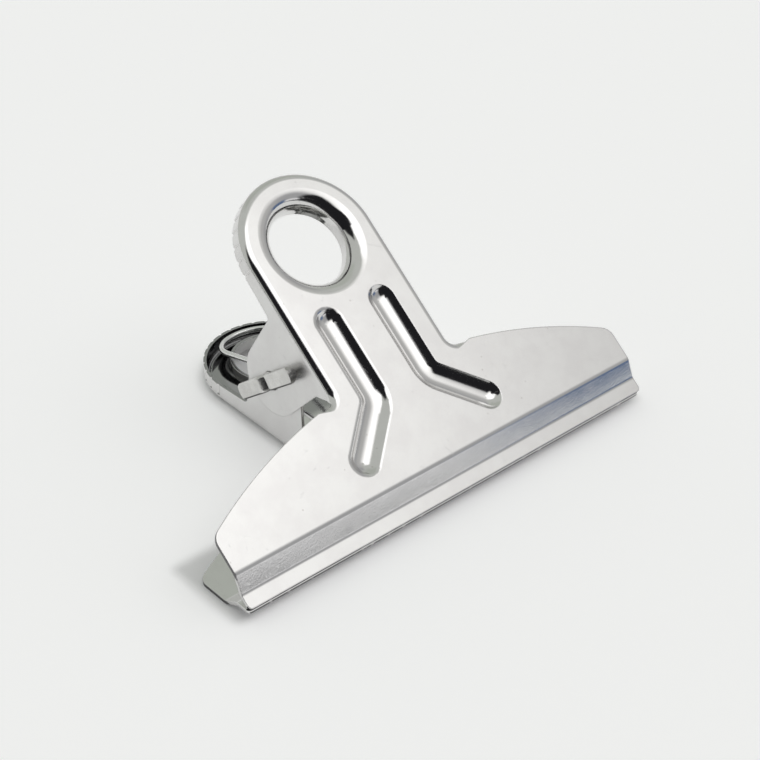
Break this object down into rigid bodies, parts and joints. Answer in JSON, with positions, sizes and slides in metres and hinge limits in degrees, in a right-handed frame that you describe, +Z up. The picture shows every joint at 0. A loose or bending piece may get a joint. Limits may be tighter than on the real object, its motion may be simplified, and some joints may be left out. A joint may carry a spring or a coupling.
{
  "type": "bulldog clip",
  "caption": "Sprung paper clip of pressed-steel jaws with round holed handles, hinged by side ears on a split pin and closed by a torsion spring.",
  "frame": {"origin": "middle of the footprint, on the outer face of the lower plate", "axes": "+X along the lips, +Y from the lips towards the handles, +Z up from the lower plate"},
  "size_m": [0.076, 0.0524, 0.0347],
  "materials": {
    "jaw_plate": "bright nickel-plated sheet steel with fine handling marks",
    "pin_steel": "plated soft steel, grainy where it was split",
    "spring_wire": "bright drawn spring wire"
  },
  "bodies": {
    "lower": {"lower_jaw": "jaw_plate", "hinge_pin": "pin_steel", "torsion_spring": "spring_wire"},
    "upper": {"upper_jaw": "jaw_plate"}
  },
  "joints": [
    {"name": "jaw_hinge", "type": "hinge", "parent": "lower", "child": "upper", "pos_m": [0, 0.00208, 0.01133], "axis": [-1, 0, 0], "range_deg": [0, 45], "stiffness_Nm_per_rad": 0.3, "deforming": ["torsion_spring"]}
  ]
}
